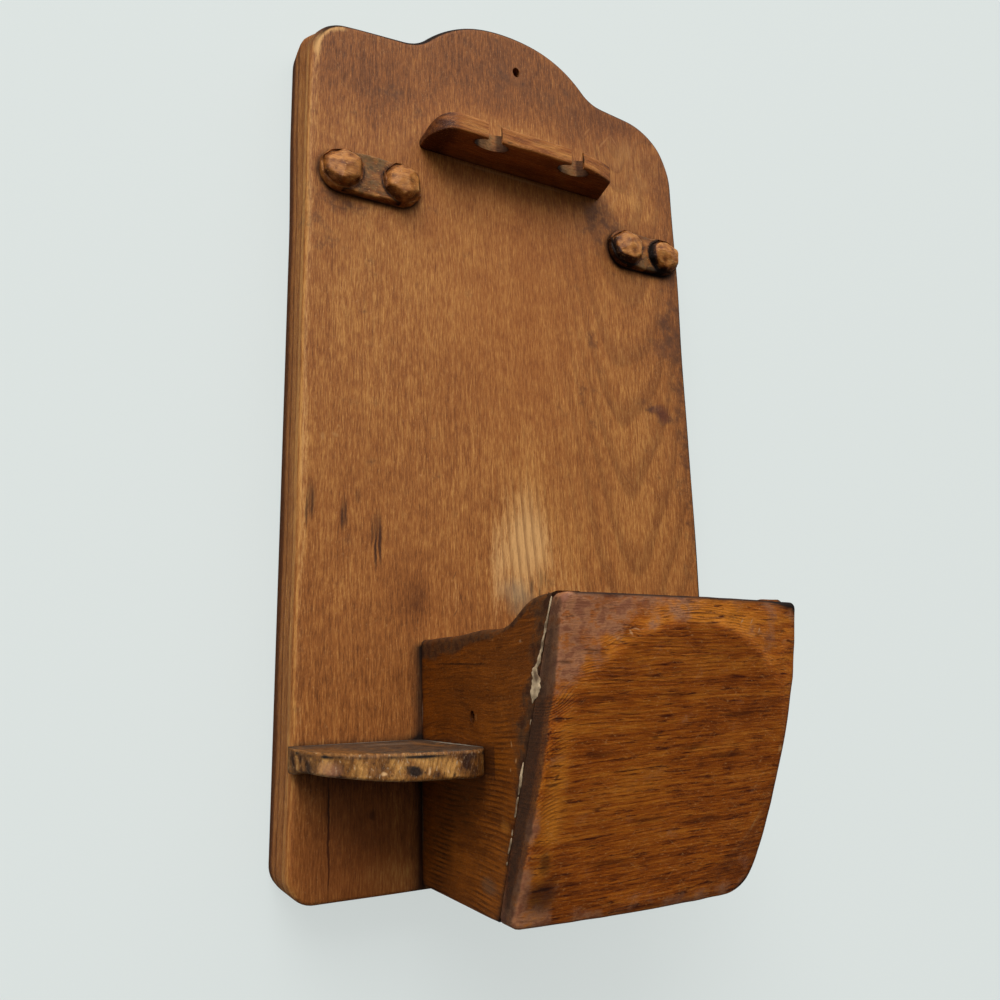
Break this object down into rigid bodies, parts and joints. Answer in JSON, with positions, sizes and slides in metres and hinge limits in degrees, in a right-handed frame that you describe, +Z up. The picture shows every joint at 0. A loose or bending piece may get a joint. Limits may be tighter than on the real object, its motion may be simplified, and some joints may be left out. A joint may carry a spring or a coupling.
{
  "type": "notepad holder",
  "caption": "Wall-hung pine notepad holder: scrolled board, open box with a leaning front, corner shelves, whittled knobs and a notched rail.",
  "frame": {"origin": "the middle of the board's flat back face, where it lies on the wall", "axes": "+Z up the board, +Y into the wall, +X to the right for someone facing the board"},
  "size_m": [0.1536, 0.1066, 0.301],
  "materials": {
    "board_pine": "stained orange-brown, waxed, satin",
    "front_pine": "dark orange-brown varnish, glossy",
    "dark_pine": "dark brown stain, satin",
    "worn_pine": "worn tan, waxed, satin"
  },
  "bodies": {
    "root": {"backboard": "board_pine", "notched_rail": "board_pine", "left_knob_block": "worn_pine", "right_knob_block": "worn_pine", "box_left_side": "dark_pine", "box_right_side": "dark_pine", "box_front": "front_pine", "box_bottom": "dark_pine", "left_shelf": "worn_pine", "right_shelf": "worn_pine"}
  },
  "joints": []
}
